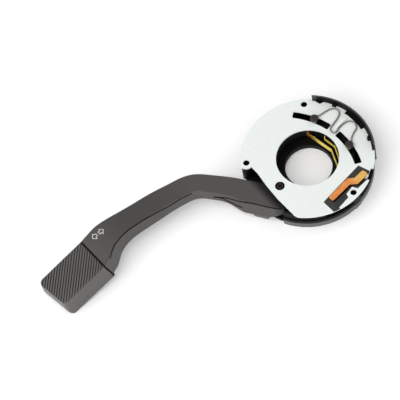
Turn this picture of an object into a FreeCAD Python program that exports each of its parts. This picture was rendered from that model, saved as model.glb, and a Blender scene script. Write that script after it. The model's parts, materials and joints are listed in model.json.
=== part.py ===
import FreeCAD
import Part
import math
import os

# Combination stalk switch for a steering column, in millimetres.
# +Z runs along the column towards the driver, -X points from the column to the lever's pivot,
# and the origin is on the column axis at the underside of the housing.

# Levels above the underside
floor_top = 2.5
skirt_top = 7.5
ledge_top = 4.0
plate_under = 14.0
plate_thickness = 1.0
rim_above_plate = 3.5

# Housing, radii about the column axis
column_bore_radius = 15.0
collar_radius = 19.9
collar_wall = 1.3
collar_lead = 0.5
wall_inner_radius = 39.0
wall_thickness = 1.6
skirt_set_out = 2.3
floor_set_out = 1.0
mouth_start = 137.0
mouth_end = 199.5
rim_set_out = 2.2
rim_wall = 1.8
rim_start = -42.5
rim_base_start = -41.0
rim_end = 38.0
rim_point_length = 6.0
lug_width = 2.2
lug_reach = 1.5
lug_set_down = 1.0
lug_angles = (17.0, -16.3, -31.0)
window_sill = 8.4
tongue_outline = ((-46.9, 4.2), (-43.2, -3.9), (-38.6, -3.9), (-38.6, 10.5), (-43.8, 10.5))
window_angles = ((-122.0, -99.0), (-81.0, -57.0))
cancel_window_half_angle = 62.0
cancel_window_top = 7.2

# Three through holes for the mounting screws
screw_hole_radius = 2.05
screw_set_in = 0.5
screw_boss_radius = 4.0
screw_angles = (45.0, 135.0, 270.0)

# Cover plate
plate_overhang = 3.2
plate_rim_gap = 0.4
plate_rim_end_gap = 0.6
plate_relief_set_in = 0.4
plate_relief_angles = (-19.0, 5.0)
front_relief_set_out = 1.5
front_relief_angles = (-72.4, -60.8)
lobe_radius = 4.3
chord_side = ((-35.6, -20.5), (-35.1, -15.9), (-33.6, -4.8), (-31.0, 7.3), (-28.2, 16.6), (-27.3, 22.4))
chord_corner_rounding = 6.0
notch_corners = ((33.1, 25.7), (33.7, 19.7), (36.4, 18.6))
notch_outer_angles = (25.0, 36.0)
middle_step_near = (26.6, -0.5)
middle_step_far = (36.4, 1.6)
middle_step_height = 0.7

# Lever pivot
pivot_x = -26.0
pivot_pin_radius = 2.0
pivot_head_radius = 3.0
pivot_head_height = 1.0
pivot_head_gap = 0.1
pivot_web = 0.8
pivot_recess_width = 0.8
pivot_recess_length = 3.4
plate_boss_radius = 4.6
plate_boss_depth = 1.0
bush_wall = 1.0
hub_wall = 1.2
hub_top = 11.7
boss_lift = 0.7
thrust_gap = 0.1
running_gap = 0.05

# Arc slots and spring posts, about the lever pivot
slot_radius = 51.2
slot_half_width = 2.3
slot_angles = ((4.4, 32.8), (-32.2, -3.0))
slot_corner_rounding = 0.9
post_angle = 16.6
post_radius = 1.5
post_foot = 4.4
post_neck_top = 16.35
post_head_radius = 2.7
post_head_height = 1.5
post_crown_rounding = 0.9
turn_angle = 10.0

# Switch carrier
ring_clearance = 5.0
ring_width = 3.2
ring_under = 7.4
ring_top = 10.8
post_boss_radius = 3.0
arm_start = -17.5
arm_end = -9.4
arm_half_width = 6.2
arm_under = 5.6
arm_top = 9.6
ear_thickness = 2.4
ear_reach = 3.2

# Centre spring of round wire
wire_radius = 0.5
wire_gap = 0.05
spring_bends = {
    "upper": ((36.6, 12.0), (36.9, 4.6), (24.9, 2.6)),
    "lower": ((36.6, -9.4), (36.9, -1.9), (24.9, -1.9)),
}
spring_bend_roundings = (3.6, 2.4)
spring_middle_reach = 2.0
spring_loop_angle = 260.0

# Detent
detent_cam_thickness = 2.4
detent_notch_depth = 0.9
detent_notch_half_width = 1.7
detent_half_length = 15.0
detent_under = 5.0
detent_top = 11.6
plunger_radius = 1.4
plunger_nose_out = 3.1
plunger_stand_off = 0.3
plunger_level = 9.1
plunger_socket_wall = 0.8
detent_spring_room = 2.3
plunger_boss_half_width = 3.0
detent_wire_radius = 0.25
detent_turns = 3

# Cancelling pawls
pawl_under = 4.7
pawl_top = 6.9
pawl_hub_radius = 2.8
pawl_tip_radius = 20.7
pawl_tip_half_width = 0.8

# Horn contact and its insulator, let into the cover plate
insulator_outline = (
    (16.2, -28.2), (-17.2, -28.6), (-18.4, -40.0), (-14.3, -41.0), (-13.9, -38.8), (-4.6, -38.4),
    (-3.7, -35.9), (2.4, -35.3), (3.0, -36.8), (3.7, -38.7), (12.4, -39.2), (14.2, -40.4), (18.3, -38.2),
)
insulator_set_down = 0.1
insulator_flange = 0.4
insulator_neck = 1.2
strip_slot_reach = 1.2
strip_thickness = 0.5
strip_outline = (
    (15.3, -32.6), (15.7, -36.9), (6.0, -36.7), (2.6, -33.2), (-13.0, -32.7), (-12.6, -28.9),
    (4.6, -29.1), (8.0, -32.4),
)
strip_corner_rounding = 1.2

# Brass contact bars inside the collar
bar_thickness = 0.5
lower_bar_route = ((14.2, 15.1), (14.9, 12.4), (15.6, -5.8), (7.9, -19.0))
lower_bar_level = 7.3
lower_bar_heights = (5.0, 3.4, 3.4)
upper_bar_route = ((20.4, 3.6), (17.9, 1.9), (17.9, -6.6), (11.2, -17.4))
upper_bar_level = 10.9
upper_bar_heights = (1.5, 1.5, 2.6)

# Wiper and its fixed contacts on the floor
wiper_angle = -63.3
wiper_step_angle = 10.0
wiper_radius = 28.5
wiper_width = 3.4
wiper_length = 4.4
wiper_thickness = 0.4
contact_radius = 1.5
contact_height = 0.4
contact_gap = 0.2

# Connector socket in the floor
socket_centre_y = 30.0
socket_length = 24.0
socket_width = 10.0
socket_wall = 1.2
socket_height = 6.2
blade_count = 5
blade_pitch = 4.6
blade_width = 2.8
blade_thickness = 0.8
blade_inset = 0.8

# Lever: its root line, then the stations of its top face
root_point = (-39.6, 11.7)
root_heading = 118.5
root_back = 22.5
root_width = 16.5
root_top = 11.8
root_depth = 7.3
root_leans = (0.0, 0.45, 0.52)
inner_lean_most = 0.1
# x, y, heading, height of the top face, width of the top face, depth, lean of the flanks,
# and the slant in degrees that carries the underside back towards the housing
lever_stations = (
    (-39.6, 11.7, 118.5, 12.4, 16.1, 8.6, 0.43, 0.0),
    (-43.6, 19.7, 118.5, 13.2, 14.8, 8.3, 0.30, 0.0),
    (-47.9, 27.5, 120.0, 14.4, 13.4, 8.0, 0.17, 0.0),
    (-52.1, 33.3, 124.0, 15.6, 12.9, 8.4, 0.13, 0.0),
    (-55.9, 38.2, 131.0, 16.8, 12.6, 9.0, 0.12, 0.0),
    (-60.4, 42.4, 143.0, 17.8, 12.7, 9.5, 0.14, 0.0),
    (-66.3, 45.3, 155.0, 18.5, 12.7, 10.0, 0.14, 0.0),
    (-74.2, 47.7, 163.0, 19.2, 12.7, 10.5, 0.13, 0.0),
    (-94.4, 53.1, 165.0, 20.2, 13.8, 11.5, 0.12, 0.0),
    (-112.3, 57.4, 168.0, 20.6, 15.2, 12.5, 0.14, 2.0),
    (-118.3, 58.4, 170.0, 20.6, 16.6, 13.0, 0.18, 6.0),
    (-123.3, 58.5, 172.0, 20.5, 18.5, 13.4, 0.20, 9.0),
    (-128.3, 57.6, 172.0, 20.3, 20.9, 13.8, 0.20, 12.0),
    (-133.1, 56.8, 172.1, 20.05, 22.2, 14.1, 0.185, 14.5),
)
seam_station = (-137.9, 55.8, 172.2, 19.8, 23.6, 14.4, 0.17, 17.0)
lever_edge_rounding = 1.0
lever_under_rounding = 2.2
split_share = 0.62
split_reach = 6.0
pocket_wall = 1.3
pocket_skin = 0.9
pocket_floor = 0.6
pocket_end_gap = 1.2
carrier_gap = 1.6

# Knob
knob_seam_gap = 0.4
knob_tip = (-173.4, 59.0, 178.5, 14.9, 23.2, 15.36, 0.15, 8.0)
knob_edge_rounding = 0.8
knob_corner_rounding = 3.6
knob_spigot_length = 9.0
knob_spigot_margin = 1.4
rib_pitch = 1.63
rib_heading = 35.6
rib_depth = 0.4
rib_half_width = 0.4
rib_border = 1.2

# Steel core and flash hinge
core_width = 5.0
core_thickness = 2.6
core_last_station = 9
core_lap = 0.3
flash_pin_radius = 1.25
flash_pin_back = 6.0
flash_level = 7.5
eye_radius = 2.3
eye_start = -3.4
eye_end = 0.9
torsion_gap = 0.1
torsion_wire_radius = 0.35
torsion_turns = 2
torsion_room = 0.8

# Cutting bodies: how far they reach past a face, and a height above everything
overrun = 1.0
through = 60.0

# A full turn in degrees, and the difference below which two places count as one
full_turn = 360.0
same_place = 1e-6

# Values worked out from the ones above
plate_top = plate_under + plate_thickness
rim_top = plate_top + rim_above_plate
wall_outer_radius = wall_inner_radius + wall_thickness
collar_outer_radius = collar_radius + collar_wall
skirt_radius = wall_inner_radius + skirt_set_out
floor_radius = wall_inner_radius + floor_set_out
rim_inner_radius = wall_inner_radius + rim_set_out
rim_outer_radius = rim_inner_radius + rim_wall
screw_circle_radius = wall_inner_radius - screw_set_in
plate_radius = wall_inner_radius + plate_overhang
plate_relief_radius = wall_inner_radius - plate_relief_set_in
front_relief_radius = wall_inner_radius + front_relief_set_out
ring_inner_radius = collar_outer_radius + ring_clearance
ring_outer_radius = ring_inner_radius + ring_width
detent_ridge_radius = wall_inner_radius - detent_cam_thickness - pivot_x
bush_radius = pivot_pin_radius + running_gap + bush_wall
hub_radius = bush_radius + hub_wall
boss_top = floor_top + boss_lift
hub_under = boss_top + thrust_gap
plate_boss_under = plate_under - plate_boss_depth
pivot_head_under = plate_boss_under + pivot_web
plunger_tip = pivot_x + detent_ridge_radius - plunger_stand_off
plunger_boss_end = plunger_tip - plunger_nose_out
plunger_socket_start = ring_inner_radius + plunger_socket_wall
plunger_start = plunger_socket_start + detent_spring_room
insulator_top = plate_top - insulator_set_down


def vector(x, y, z=0.0):
    return FreeCAD.Vector(x, y, z)


def polar(radius, angle, centre=(0.0, 0.0)):
    turn = math.radians(angle)
    return (centre[0] + radius * math.cos(turn), centre[1] + radius * math.sin(turn))


def cylinder(radius, low, high, centre=(0.0, 0.0)):
    return Part.makeCylinder(radius, high - low, vector(centre[0], centre[1], low))


def tube(inner, outer, low, high, centre=(0.0, 0.0)):
    return cylinder(outer, low, high, centre).cut(cylinder(inner, low - overrun, high + overrun, centre))


def prism(points, low, high):
    corners = [vector(x, y, low) for x, y in points]
    outline = Part.makePolygon(corners + corners[:1])
    return Part.Face(outline).extrude(vector(0.0, 0.0, high - low))


def sector(inner, outer, low, high, start, end, centre=(0.0, 0.0)):
    """A piece of a ring between two angles."""
    middle = (start + end) / 2.0
    far = [vector(*polar(outer, angle, centre), low) for angle in (start, middle, end)]
    near = [vector(*polar(inner, angle, centre), low) for angle in (end, middle, start)]
    edges = [
        Part.Arc(*far).toShape(),
        Part.makeLine(far[2], near[0]),
        Part.Arc(*near).toShape(),
        Part.makeLine(near[2], far[0]),
    ]
    return Part.Face(Part.Wire(edges)).extrude(vector(0.0, 0.0, high - low))


def upright_edges(shape):
    return [
        edge for edge in shape.Edges
        if len(edge.Vertexes) == 2
        and abs(edge.Vertexes[0].X - edge.Vertexes[1].X) < same_place
        and abs(edge.Vertexes[0].Y - edge.Vertexes[1].Y) < same_place
    ]


def fuse_all(shapes):
    return shapes[0].multiFuse(shapes[1:]).removeSplitter()


def rounded_route(points, roundings):
    """Edges along straight runs, joined by tangent arcs at the inner points."""
    edges = []
    start = points[0]
    for index, rounding in enumerate(roundings, start=1):
        corner = points[index]
        back = (points[index - 1] - corner).normalize()
        ahead = (points[index + 1] - corner).normalize()
        half = back.getAngle(ahead) / 2.0
        reach = rounding / math.tan(half)
        first = corner + back * reach
        last = corner + ahead * reach
        bisector = (back + ahead).normalize()
        middle = corner + bisector * (rounding / math.sin(half) - rounding)
        edges.append(Part.makeLine(start, first))
        edges.append(Part.Arc(first, middle, last).toShape())
        start = last
    edges.append(Part.makeLine(start, points[-1]))
    return edges


def round_wire(edges, radius):
    """A round wire along a route."""
    route = Part.Wire(edges)
    first = edges[0]
    start = first.valueAt(first.FirstParameter)
    along = first.tangentAt(first.FirstParameter)
    profile = Part.Wire(Part.makeCircle(radius, start, along))
    return route.makePipeShell([profile], True, False)


def coil(start, along, radius, wire, turns, length):
    """A helical spring with its first turn at start, laid along a direction."""
    helix = Part.makeHelix(length / turns, length, radius)
    profile = Part.Wire(Part.makeCircle(wire, vector(radius, 0.0), vector(0.0, 1.0)))
    spring = Part.Wire(helix).makePipeShell([profile], True, True)
    turn = FreeCAD.Rotation(vector(0.0, 0.0, 1.0), along)
    spring.Placement = FreeCAD.Placement(start, turn)
    return spring


# Frame of the lever's root: along it, across it and up
pivot = (pivot_x, 0.0)
post_places = {
    "upper": polar(slot_radius, post_angle, pivot),
    "lower": polar(slot_radius, -post_angle, pivot),
}
root_along = vector(*polar(1.0, root_heading))
root_across = vector(root_along.y, -root_along.x)
root_origin = vector(*root_point)


def root_place(along, across, level=0.0):
    return root_origin + root_along * along + root_across * across + vector(0.0, 0.0, level)


def root_box(along_start, along_end, across_start, across_end, low, high):
    corners = [
        root_place(along_start, across_start),
        root_place(along_end, across_start),
        root_place(along_end, across_end),
        root_place(along_start, across_end),
    ]
    return prism([(corner.x, corner.y) for corner in corners], low, high)


def root_rod(radius, along, across_start, across_end, level):
    start = root_place(along, across_start, level)
    return Part.makeCylinder(radius, across_end - across_start, start, root_across)


def flash_pin_rod(radius, half_length):
    return root_rod(radius, -flash_pin_back, -half_length, half_length, flash_level)


def rounded_section(corners, roundings):
    """A closed outline through corners in space, each one softened by a curve."""
    count = len(corners)
    edges = []
    exits = []
    for index, corner in enumerate(corners):
        back = (corners[index - 1] - corner).normalize()
        ahead = (corners[(index + 1) % count] - corner).normalize()
        first = corner + back * roundings[index]
        last = corner + ahead * roundings[index]
        exits.append((first, corner, last))
    for index, (first, corner, last) in enumerate(exits):
        bend = Part.BezierCurve()
        bend.setPoles([first, corner, last])
        edges.append(bend.toShape())
        edges.append(Part.makeLine(last, exits[(index + 1) % count][0]))
    return Part.Wire(edges)


def station_corners(station, top_drop, bottom_drop, side):
    """Corners of an upright section: its top left, top right, bottom right and bottom left."""
    x, y, heading, top, width, _, lean, slant = station
    across = vector(*polar(1.0, heading - 90.0))
    down = vector(*polar(-math.tan(math.radians(slant)), heading), -1.0)
    middle = vector(x, y, top)
    half = width / 2.0 + side
    inner_lean = min(lean, inner_lean_most)
    return [
        middle - across * (half + lean * top_drop) + down * top_drop,
        middle + across * (half + inner_lean * top_drop) + down * top_drop,
        middle + across * (half + inner_lean * bottom_drop) + down * bottom_drop,
        middle - across * (half + lean * bottom_drop) + down * bottom_drop,
    ]


def body_section(station):
    corners = station_corners(station, 0.0, station[5], 0.0)
    upper, under = lever_edge_rounding, lever_under_rounding
    return rounded_section(corners, (upper, upper, under, under))


def plain_section(station, top_drop, bottom_drop, side):
    corners = station_corners(station, top_drop, bottom_drop, side)
    return Part.makePolygon(corners + corners[:1])


def root_stations():
    """Evenly spaced sections from the root's end to the first station of the lever."""
    _, _, heading, top, width, depth, _, slant = lever_stations[0]
    stations = []
    for index, lean in enumerate(root_leans):
        share = 1.0 - index / len(root_leans)
        place = root_place(-root_back * share, 0.0)
        stations.append((
            place.x, place.y, heading, top + (root_top - top) * share,
            width + (root_width - width) * share, depth + (root_depth - depth) * share, lean, slant,
        ))
    return tuple(stations)


def all_stations():
    return root_stations() + lever_stations + (seam_station,)


# Housing
def make_housing_shell():
    floor = cylinder(floor_radius, 0.0, floor_top)
    walls = [
        sector(wall_inner_radius, wall_outer_radius, 0.0, plate_under, mouth_end, mouth_start + full_turn),
        sector(wall_inner_radius, skirt_radius, 0.0, skirt_top, mouth_end, mouth_start + full_turn),
    ]
    rim = sector(wall_inner_radius, rim_outer_radius, 0.0, plate_under, rim_base_start, rim_end)
    rim_wall = sector(rim_inner_radius, rim_outer_radius, plate_under, rim_top, rim_start, rim_end)
    point = math.degrees(rim_point_length / rim_outer_radius)
    for outer_angle, inner_angle in ((rim_end, rim_end - point), (rim_start, rim_start + point)):
        tip = [
            polar(rim_inner_radius, inner_angle),
            polar(rim_outer_radius, outer_angle),
            polar(rim_outer_radius + overrun, outer_angle * 2.0 - inner_angle),
            polar(rim_inner_radius - overrun, outer_angle),
        ]
        rim_wall = rim_wall.cut(prism(tip, plate_under, rim_top + overrun))
    pieces = [floor, rim, rim_wall, prism(tongue_outline, 0.0, floor_top)] + walls
    for angle in lug_angles:
        half = math.degrees(lug_width / 2.0 / rim_inner_radius)
        reach = rim_inner_radius - lug_reach
        pieces.append(
            sector(reach, rim_inner_radius, plate_under, rim_top - lug_set_down, angle - half, angle + half)
        )
    pieces.append(cylinder(collar_outer_radius, 0.0, ledge_top))
    pieces.append(cylinder(collar_outer_radius, 0.0, plate_under))
    pieces.append(cylinder(hub_radius, 0.0, boss_top, pivot))
    for angle in screw_angles:
        boss = cylinder(screw_boss_radius, 0.0, plate_under, polar(screw_circle_radius, angle))
        pieces.append(boss.common(cylinder(skirt_radius + plate_rim_gap, 0.0, plate_under)))
    shell = fuse_all(pieces)
    cuts = [
        cylinder(column_bore_radius, -overrun, through),
        cylinder(collar_radius, ledge_top, through),
        cylinder(collar_radius + collar_lead, plate_under - collar_lead, through),
        cylinder(pivot_pin_radius, boss_lift, boss_top + overrun, pivot),
        socket_block(),
        sector(
            collar_radius - overrun, collar_outer_radius + overrun, ledge_top, cancel_window_top,
            -cancel_window_half_angle, cancel_window_half_angle,
        ),
        make_bar(lower_bar_route, lower_bar_level, lower_bar_heights),
        make_bar(upper_bar_route, upper_bar_level, upper_bar_heights),
    ]
    for angle in screw_angles:
        cuts.append(cylinder(screw_hole_radius, -overrun, through, polar(screw_circle_radius, angle)))
    for start, end in window_angles:
        inner, outer = wall_inner_radius - overrun, skirt_radius + overrun
        cuts.append(sector(inner, outer, window_sill, plate_under, start, end))
    return shell.cut(Part.makeCompound(cuts))


# Connector socket and its blades
def socket_block():
    length = socket_length + 2.0 * socket_wall
    width = socket_width + 2.0 * socket_wall
    corner = vector(-length / 2.0, socket_centre_y - width / 2.0, 0.0)
    return Part.makeBox(length, width, socket_height, corner)


def blade_boxes():
    boxes = []
    for index in range(blade_count):
        middle = (index - (blade_count - 1) / 2.0) * blade_pitch
        corner = vector(middle - blade_width / 2.0, socket_centre_y - blade_thickness / 2.0, blade_inset)
        boxes.append(Part.makeBox(blade_width, blade_thickness, socket_height - blade_inset, corner))
    return boxes


def make_connector_socket():
    corner = vector(-socket_length / 2.0, socket_centre_y - socket_width / 2.0, 0.0)
    hollow = Part.makeBox(socket_length, socket_width, socket_height - socket_wall, corner)
    return socket_block().cut(hollow).cut(Part.makeCompound(blade_boxes()))


def make_terminal_blades():
    return Part.makeCompound(blade_boxes())


# Cover plate
def plate_outline():
    plate = cylinder(plate_radius, plate_under, plate_top)
    outside = -2.0 * plate_radius
    chord = [(outside, chord_side[0][1] - plate_radius), (chord_side[0][0], chord_side[0][1] - plate_radius)]
    chord += list(chord_side) + [(chord_side[-1][0], plate_radius), (outside, plate_radius)]
    plate = plate.cut(prism(chord, plate_under, plate_top))
    corner = [edge for edge in upright_edges(plate) if edge.BoundBox.YMax < chord_side[0][1]]
    plate = plate.makeFillet(chord_corner_rounding, corner)
    lobe_place = polar(screw_circle_radius, screw_angles[1])
    plate = plate.fuse(cylinder(lobe_radius, plate_under, plate_top, lobe_place))
    edge_radius = rim_inner_radius - plate_rim_gap
    outer = rim_outer_radius + overrun
    notch = list(notch_corners) + [polar(outer, angle) for angle in notch_outer_angles]
    cuts = [
        sector(
            edge_radius, outer, plate_under, plate_top,
            rim_start - plate_rim_end_gap, rim_end + plate_rim_end_gap,
        ),
        sector(plate_relief_radius, outer, plate_under, plate_top, *plate_relief_angles),
        sector(front_relief_radius, outer, plate_under, plate_top, *front_relief_angles),
        prism(notch, plate_under, plate_top),
    ]
    for angle in lug_angles:
        half = math.degrees((lug_width / 2.0 + plate_rim_gap) / rim_inner_radius)
        reach = rim_inner_radius - lug_reach - plate_rim_gap
        cuts.append(sector(reach, outer, plate_under, plate_top, angle - half, angle + half))
    return plate.cut(Part.makeCompound(cuts)).removeSplitter()


def make_cover_plate():
    plate = plate_outline()
    step_length = middle_step_far[0] - middle_step_near[0]
    step_width = middle_step_far[1] - middle_step_near[1]
    step_corner = vector(*middle_step_near, plate_top)
    step = Part.makeBox(step_length, step_width, middle_step_height, step_corner)
    boss = cylinder(plate_boss_radius, plate_boss_under, plate_under, pivot)
    plate = fuse_all([plate, step, boss])
    cuts = [
        cylinder(collar_radius, plate_under - overrun, plate_top + overrun),
        cylinder(pivot_pin_radius + running_gap, plate_boss_under - overrun, plate_top + overrun, pivot),
        cylinder(pivot_head_radius + pivot_head_gap, pivot_head_under, plate_top + overrun, pivot),
        prism(insulator_outline, insulator_top - insulator_flange, plate_top + overrun),
        insulator_window(plate_under - overrun, plate_top + overrun),
    ]
    for start, end in slot_angles:
        inner, outer = slot_radius - slot_half_width, slot_radius + slot_half_width
        slot = sector(inner, outer, plate_under - overrun, plate_top + overrun, start, end, pivot)
        cuts.append(slot.makeFillet(slot_corner_rounding, upright_edges(slot)))
    for angle in screw_angles:
        place = polar(screw_circle_radius, angle)
        cuts.append(cylinder(screw_hole_radius, plate_under - overrun, plate_top + overrun, place))
    return plate.cut(Part.makeCompound(cuts)).removeSplitter()


def insulator_window(low, high):
    """The part of the insulator that goes through the plate, between the two necks of the plate."""
    window = prism(insulator_outline, low, high)
    window = window.common(cylinder(plate_radius - insulator_neck, low, high))
    relief = sector(
        front_relief_radius - insulator_neck, plate_radius, low, high,
        front_relief_angles[0], front_relief_angles[1],
    )
    return window.cut(relief)


def make_insulator_block():
    flange_under = insulator_top - insulator_flange
    flange = prism(insulator_outline, flange_under, insulator_top).common(plate_outline())
    block = flange.fuse(insulator_window(plate_under, flange_under))
    slot_corners = [(x, y - strip_slot_reach) for x, y in strip_outline]
    return block.cut(prism(slot_corners, plate_under - overrun, plate_top + overrun)).removeSplitter()


def make_horn_contact_strip():
    strip = prism(strip_outline, insulator_top, insulator_top + strip_thickness)
    return strip.makeFillet(strip_corner_rounding, upright_edges(strip))


# Pivot screw, headed in a counterbore of the plate
def make_pivot_screw():
    shank = cylinder(pivot_pin_radius, boss_lift, pivot_head_under, pivot)
    head = cylinder(pivot_head_radius, pivot_head_under, pivot_head_under + pivot_head_height, pivot)
    sizes = (pivot_recess_length, pivot_recess_width)
    recess = []
    for length, width in (sizes, sizes[::-1]):
        corner = vector(pivot_x - length / 2.0, -width / 2.0, pivot_head_under + pivot_head_height / 2.0)
        recess.append(Part.makeBox(length, width, pivot_head_height, corner))
    return shank.fuse(head).cut(Part.makeCompound(recess)).removeSplitter()


# Contact bars
def make_bar(route, level, heights):
    """An upright strip along a bent route, by joining one box for each straight run."""
    runs = []
    for (x0, y0), (x1, y1), height in zip(route, route[1:], heights):
        length = math.hypot(x1 - x0, y1 - y0)
        run = Part.makeBox(length, bar_thickness, height, vector(0.0, -bar_thickness / 2.0, level))
        run.rotate(vector(0.0, 0.0), vector(0.0, 0.0, 1.0), math.degrees(math.atan2(y1 - y0, x1 - x0)))
        run.translate(vector(x0, y0))
        runs.append(run)
    for place, height in zip(route[1:-1], heights):
        runs.append(cylinder(bar_thickness / 2.0, level, level + height, place))
    return fuse_all(runs)


# Detent cam on the wall, opposite the pivot
def make_detent_cam():
    cam = cylinder(wall_inner_radius, detent_under, detent_top)
    cam = cam.cut(cylinder(detent_ridge_radius, detent_under, detent_top, pivot))
    keep = Part.makeBox(
        wall_inner_radius, 2.0 * detent_half_length, detent_top - detent_under,
        vector(0.0, -detent_half_length, detent_under),
    )
    cam = cam.common(keep)
    for angle in (-turn_angle, 0.0, turn_angle):
        half = math.degrees(detent_notch_half_width / detent_ridge_radius)
        notch = [
            polar(detent_ridge_radius - overrun, angle - half, pivot),
            polar(detent_ridge_radius, angle - half, pivot),
            polar(detent_ridge_radius + detent_notch_depth, angle, pivot),
            polar(detent_ridge_radius, angle + half, pivot),
            polar(detent_ridge_radius - overrun, angle + half, pivot),
        ]
        cam = cam.cut(prism(notch, detent_under, detent_top))
    return cam


def make_fixed_contacts():
    pads = []
    for step in (-1, 0, 1):
        place = polar(wiper_radius, wiper_angle + step * wiper_step_angle, pivot)
        pads.append(cylinder(contact_radius, floor_top, floor_top + contact_height, place))
    return Part.makeCompound(pads)


# Carrier that turns on the pivot screw
def make_lever_carrier():
    ring = tube(ring_inner_radius, ring_outer_radius, ring_under, ring_top)
    hub = cylinder(hub_radius, hub_under, hub_top, pivot)
    arm = root_box(arm_start, arm_end, -arm_half_width, arm_half_width, arm_under, arm_top)
    arm = arm.cut(cylinder(collar_outer_radius + carrier_gap, 0.0, through))
    ear_end = ear_reach - flash_pin_back
    pieces = [ring, hub, arm]
    for side in (-1.0, 1.0):
        ends = sorted((side * arm_half_width, side * (arm_half_width - ear_thickness)))
        pieces.append(root_box(arm_end, ear_end, ends[0], ends[1], arm_under, arm_top))
    for place in post_places.values():
        pieces.append(cylinder(post_boss_radius, ring_under, ring_top, place))
    pieces.append(
        Part.makeBox(
            plunger_boss_end - plunger_socket_start, 2.0 * plunger_boss_half_width, ring_top - ring_under,
            vector(plunger_socket_start, -plunger_boss_half_width, ring_under),
        )
    )
    carrier = fuse_all(pieces)
    cuts = [
        cylinder(bush_radius, hub_under - overrun, hub_top + overrun, pivot),
        flash_pin_rod(flash_pin_radius, arm_half_width + overrun),
        Part.makeCylinder(
            plunger_radius + running_gap, plunger_boss_end, vector(plunger_socket_start, 0.0, plunger_level),
            vector(1.0, 0.0),
        ),
    ]
    for place in post_places.values():
        cuts.append(cylinder(post_radius, 0.0, through, place))
    return carrier.cut(Part.makeCompound(cuts)).removeSplitter()


def make_pivot_bush():
    return tube(pivot_pin_radius + running_gap, bush_radius, hub_under, hub_top, pivot)


def make_spring_post(side):
    place = post_places[side]
    shank = cylinder(post_radius, post_foot, post_neck_top, place)
    head = cylinder(post_head_radius, post_neck_top, post_neck_top + post_head_height, place)
    post = shank.fuse(head).removeSplitter()
    crown = [
        edge for edge in post.Edges
        if abs(edge.BoundBox.ZMin - post_neck_top - post_head_height) < same_place
        and abs(edge.BoundBox.ZMax - post_neck_top - post_head_height) < same_place
    ]
    return post.makeFillet(post_crown_rounding, crown)


def spring_half(side, level):
    """The loop round one post and the lobe that runs on to the middle bend."""
    loop = post_radius + wire_radius + wire_gap
    place = post_places[side]
    turn_way = 1.0 if side == "upper" else -1.0
    corner, back, middle = (vector(x, y, level) for x, y in spring_bends[side])
    away = vector(corner.x - place[0], corner.y - place[1])
    leave = math.degrees(math.atan2(away.y, away.x) + turn_way * math.acos(loop / away.Length))
    start, turn, end = (
        vector(*polar(loop, leave + turn_way * spring_loop_angle * share, place), level)
        for share in (0.0, 0.5, 1.0)
    )
    edges = [Part.Arc(end, turn, start).toShape()]
    return edges + rounded_route([start, corner, back, middle], spring_bend_roundings), middle


def make_w_spring():
    """A wire that loops round both posts and bends in between to a W."""
    level = plate_top + wire_radius + wire_gap
    upper, first = spring_half("upper", level)
    lower, last = spring_half("lower", level)
    bend = (first + last) * 0.5 - vector(spring_middle_reach, 0.0)
    route = upper + [Part.Arc(first, bend, last).toShape()] + lower
    return round_wire(Part.__sortEdges__(route), wire_radius)


# Detent plunger and its spring
def make_detent_plunger():
    nose_start = plunger_tip - plunger_radius
    back_end = vector(plunger_start, 0.0, plunger_level)
    rod = Part.makeCylinder(plunger_radius, nose_start - plunger_start, back_end, vector(1.0, 0.0))
    nose = Part.makeSphere(plunger_radius, vector(nose_start, 0.0, plunger_level))
    return rod.fuse(nose).removeSplitter()


def make_detent_spring():
    length = detent_spring_room - 2.0 * detent_wire_radius
    radius = plunger_radius - 2.0 * detent_wire_radius
    place = vector(plunger_socket_start + detent_wire_radius, 0.0, plunger_level)
    return coil(place, vector(1.0, 0.0), radius, detent_wire_radius, detent_turns, length)


def make_contact_wiper():
    """A bent leaf: a foot on the floor contact, an upright and a top under the ring."""
    top = ring_under
    foot = floor_top + contact_height + contact_gap
    outline = [
        vector(0.0, 0.0, top),
        vector(wiper_length, 0.0, top),
        vector(wiper_length, 0.0, top - wiper_thickness),
        vector(wiper_thickness, 0.0, top - wiper_thickness),
        vector(wiper_thickness, 0.0, foot + wiper_thickness),
        vector(wiper_length, 0.0, foot + wiper_thickness),
        vector(wiper_length, 0.0, foot),
        vector(0.0, 0.0, foot),
    ]
    leaf = Part.Face(Part.makePolygon(outline + outline[:1])).extrude(vector(0.0, wiper_width))
    leaf.translate(vector(-wiper_length / 2.0, -wiper_width / 2.0))
    leaf.rotate(vector(0.0, 0.0), vector(0.0, 0.0, 1.0), wiper_angle + 90.0)
    leaf.translate(vector(*polar(wiper_radius, wiper_angle, pivot)))
    return leaf


# Cancelling pawls on the feet of the posts
def make_cancel_pawl(side):
    place = post_places[side]
    towards = math.degrees(math.atan2(-place[1], -place[0]))
    reach = math.hypot(*place) - pawl_tip_radius
    tip = polar(reach, towards, place)
    outline = [
        polar(pawl_hub_radius, towards - 90.0, place),
        polar(pawl_tip_half_width, towards - 90.0, tip),
        polar(pawl_tip_half_width, towards + 90.0, tip),
        polar(pawl_hub_radius, towards + 90.0, place),
    ]
    hub = cylinder(pawl_hub_radius, pawl_under, pawl_top, place)
    hole = cylinder(post_radius + running_gap, 0.0, through, place)
    return prism(outline, pawl_under, pawl_top).fuse(hub).cut(hole).removeSplitter()


# Lever: two shells round a steel core
def lever_body():
    sections = [body_section(station) for station in all_stations()]
    return Part.makeLoft(sections, True, False)


def lower_share():
    """The space under the joint between the two shells."""
    sections = []
    for station in all_stations():
        split = station[5] * split_share
        sections.append(plain_section(station, split, station[5] + split_reach, split_reach))
    return Part.makeLoft(sections, True, False)


def root_pocket():
    half = root_width / 2.0 - pocket_wall
    end = ear_reach - flash_pin_back + pocket_end_gap
    low = root_top - root_depth + pocket_floor
    return root_box(-2.0 * root_back, end, -half, half, low, root_top - pocket_skin)


def carrier_room():
    return cylinder(ring_outer_radius + carrier_gap, 0.0, through)


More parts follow.
